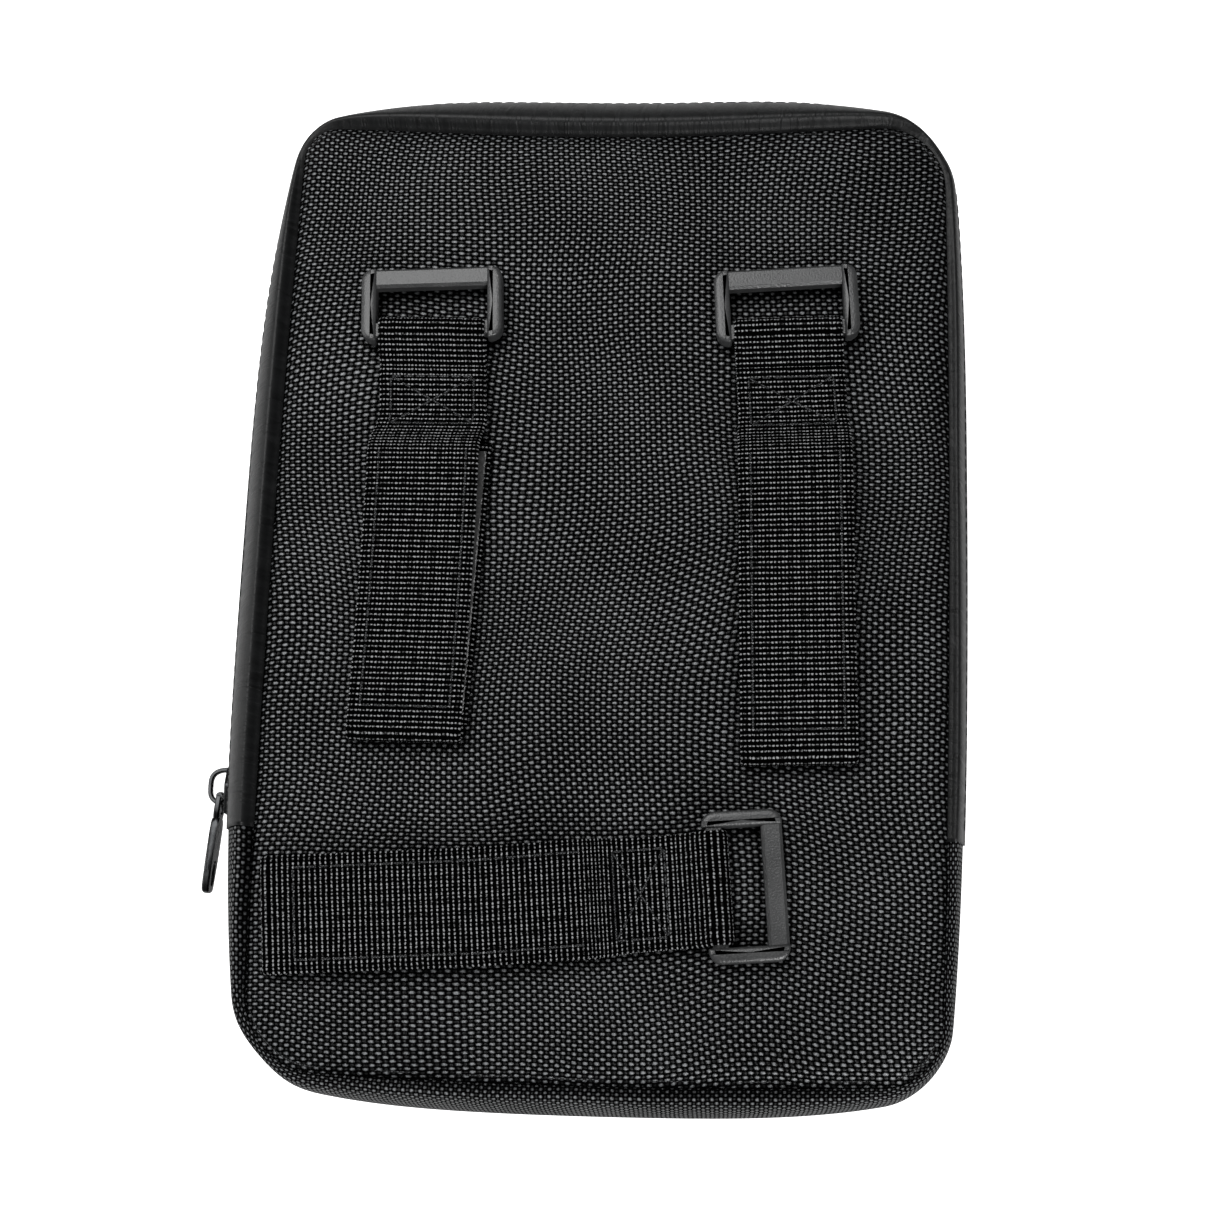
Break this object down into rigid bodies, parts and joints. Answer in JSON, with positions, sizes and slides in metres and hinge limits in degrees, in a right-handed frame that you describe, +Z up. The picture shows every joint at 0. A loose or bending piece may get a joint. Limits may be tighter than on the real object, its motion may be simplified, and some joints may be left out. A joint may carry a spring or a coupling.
{
  "type": "padded zip case",
  "caption": "Flat padded case with a zip round its edge. The back opens as a flap, and webbing straps with rectangular rings are sewn on it.",
  "frame": {"origin": "on the outside of the front cover, at its centre; the case lies on that face", "axes": "+X across the case, +Y from its bottom to its top, +Z up through its thickness to the strapped back"},
  "size_m": [0.1754, 0.2295, 0.0466],
  "materials": {
    "panel": "coarse basket-woven synthetic cloth, faint sheen",
    "foam": "closed-cell foam sheet",
    "lining": "thin plain-woven lining",
    "binding": "folded woven edge binding",
    "gusset": "woven cloth, finer than the panels",
    "band": "smooth coated cloth with fine creases",
    "zip_tape": "woven zip tape",
    "zip_teeth": "nylon coil",
    "zip_metal": "black-nickel plated die casting",
    "webbing": "ribbed woven webbing",
    "hook_loop": "hook and loop tape",
    "ring": "satin moulded plastic"
  },
  "bodies": {
    "pocket": {"front_panel": "panel", "front_foam": "foam", "front_lining": "lining", "front_seam_binding": "binding", "back_panel_lower": "panel", "back_foam_lower": "foam", "back_lining_lower": "lining", "back_seam_binding_lower": "binding", "gusset": "gusset", "front_band": "band", "back_band_ends": "band", "front_zip_tape": "zip_tape", "back_zip_tape_ends": "zip_tape", "front_zip_teeth": "zip_teeth", "back_zip_teeth_ends": "zip_teeth", "zip_stops": "zip_metal", "bottom_base": "webbing", "bottom_loop_tape": "hook_loop"},
    "flap": {"back_panel_flap": "panel", "back_foam_flap": "foam", "back_lining_flap": "lining", "back_seam_binding_flap": "binding", "back_band_flap": "band", "back_zip_tape_flap": "zip_tape", "back_zip_teeth_flap": "zip_teeth", "left_base": "webbing", "left_loop_tape": "hook_loop", "right_base": "webbing", "right_loop_tape": "hook_loop"},
    "slider": {"zip_slider": "zip_metal"},
    "pull": {"zip_pull": "zip_metal"},
    "left_strap": {"left_arm": "webbing", "left_hook_tape": "hook_loop"},
    "left_link": {"left_ring": "ring"},
    "right_strap": {"right_arm": "webbing", "right_hook_tape": "hook_loop"},
    "right_link": {"right_ring": "ring"},
    "bottom_strap": {"bottom_arm": "webbing", "bottom_hook_tape": "hook_loop"},
    "bottom_link": {"bottom_ring": "ring"}
  },
  "joints": [
    {"name": "flap_fold", "type": "hinge", "parent": "pocket", "child": "flap", "pos_m": [0, -0.046, 0.04], "axis": [1, 0, 0], "range_deg": [0, 90]},
    {"name": "zip_slide", "type": "slide", "parent": "pocket", "child": "slider", "axis": [0, 1, 0], "range_m": [0, 0.125]},
    {"name": "pull_swing", "type": "hinge", "parent": "slider", "child": "pull", "pos_m": [-0.08755, -0.0471, 0.02], "axis": [0, 0, -1], "range_deg": [0, 165]},
    {"name": "left_peel", "type": "hinge", "parent": "flap", "child": "left_strap", "pos_m": [-0.04139, -0.0349, 0.0426], "axis": [1, -0.0087, 0], "range_deg": [0, 80]},
    {"name": "left_ring_pivot", "type": "hinge", "parent": "left_strap", "child": "left_link", "pos_m": [-0.0406, 0.0554, 0.0434], "axis": [1, -0.0087, 0], "range_deg": [0, 150]},
    {"name": "right_peel", "type": "hinge", "parent": "flap", "child": "right_strap", "pos_m": [0.04199, -0.03854, 0.0426], "axis": [0.9994, 0.0349, 0], "range_deg": [0, 80]},
    {"name": "right_ring_pivot", "type": "hinge", "parent": "right_strap", "child": "right_link", "pos_m": [0.0387, 0.0556, 0.0434], "axis": [0.9994, 0.0349, 0], "range_deg": [0, 150]},
    {"name": "bottom_peel", "type": "hinge", "parent": "pocket", "child": "bottom_strap", "pos_m": [-0.0692, -0.07476, 0.0426], "axis": [0.0802, -0.9968, 0], "range_deg": [0, 150]},
    {"name": "bottom_ring_pivot", "type": "hinge", "parent": "bottom_strap", "child": "bottom_link", "pos_m": [0.0247, -0.0672, 0.0434], "axis": [0.0802, -0.9968, 0], "range_deg": [0, 150]}
  ]
}
